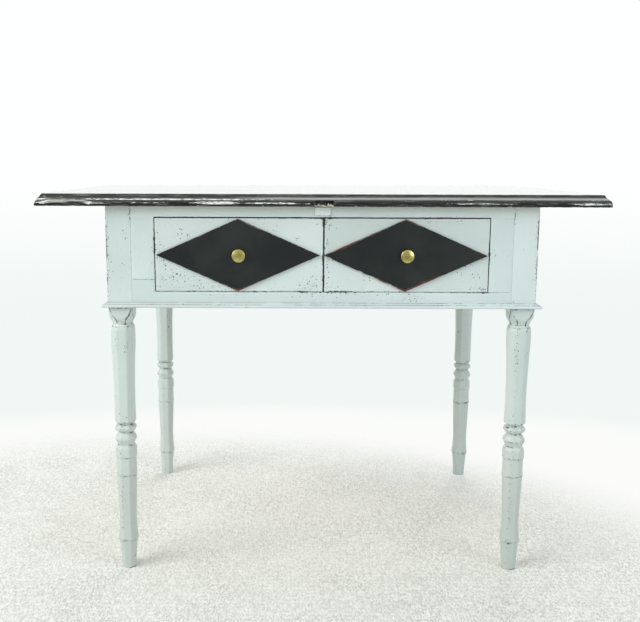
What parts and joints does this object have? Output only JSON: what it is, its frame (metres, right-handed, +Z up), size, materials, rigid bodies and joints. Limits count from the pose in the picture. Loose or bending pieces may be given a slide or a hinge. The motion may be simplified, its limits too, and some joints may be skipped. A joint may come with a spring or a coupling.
{
  "type": "kitchen table with drawers",
  "caption": "Painted rectangular kitchen table with carved eight-sided legs, a black moulded top and side-by-side drawers that slide out under its front edge.",
  "frame": {"origin": "on the floor under the middle of the table top", "axes": "+Z up, +X along the table's length, -Y out of the drawers' fronts"},
  "size_m": [1.083, 0.647, 0.76],
  "materials": {
    "painted_frame": "pale grey-green satin paint, chipped on the edges",
    "black_top": "black semi-gloss paint, rubbed pale along the arrises",
    "lozenge_paint": "black satin paint, rubbed red-brown on the edges",
    "bare_wood": "bare aged softwood",
    "brass": "aged polished brass",
    "steel": "dull plated steel",
    "painted_strap": "iron strap under the same pale paint, chipped"
  },
  "bodies": {
    "frame": {"apron_back": "painted_frame", "apron_left": "painted_frame", "apron_right": "painted_frame", "catch_strap": "painted_strap", "catch_strap_screws": "steel", "drawer_divider": "bare_wood", "drawer_stops": "bare_wood", "glue_blocks": "bare_wood", "guide_left": "bare_wood", "guide_right": "bare_wood", "kicker_centre": "bare_wood", "kicker_left": "bare_wood", "kicker_right": "bare_wood", "leg_back_left": "painted_frame", "leg_back_right": "painted_frame", "leg_front_left": "painted_frame", "leg_front_right": "painted_frame", "moulding_back": "painted_frame", "moulding_front": "painted_frame", "moulding_left": "painted_frame", "moulding_right": "painted_frame", "rail_bottom": "painted_frame", "rail_top": "painted_frame", "runner_centre": "bare_wood", "runner_left": "bare_wood", "runner_right": "bare_wood", "stile_left": "painted_frame", "stile_right": "painted_frame", "tenon_pegs": "painted_frame", "top_board_back": "black_top", "top_board_front": "black_top", "top_board_middle": "black_top", "top_screws": "steel"},
    "drawer_left": {"drawer_left_back": "bare_wood", "drawer_left_bottom": "bare_wood", "drawer_left_front": "painted_frame", "drawer_left_knob": "brass", "drawer_left_lozenge": "lozenge_paint", "drawer_left_nails": "steel", "drawer_left_nut": "steel", "drawer_left_side_inner": "bare_wood", "drawer_left_side_outer": "bare_wood", "drawer_left_washer": "steel"},
    "drawer_right": {"drawer_right_back": "bare_wood", "drawer_right_bottom": "bare_wood", "drawer_right_front": "painted_frame", "drawer_right_knob": "brass", "drawer_right_lozenge": "lozenge_paint", "drawer_right_nails": "steel", "drawer_right_nut": "steel", "drawer_right_side_inner": "bare_wood", "drawer_right_side_outer": "bare_wood", "drawer_right_washer": "steel"}
  },
  "joints": [
    {"name": "drawer_left_slide", "type": "slide", "parent": "frame", "child": "drawer_left", "axis": [0, -1, 0], "range_m": [0, 0.4]},
    {"name": "drawer_right_slide", "type": "slide", "parent": "frame", "child": "drawer_right", "axis": [0, -1, 0], "range_m": [0, 0.4]}
  ]
}
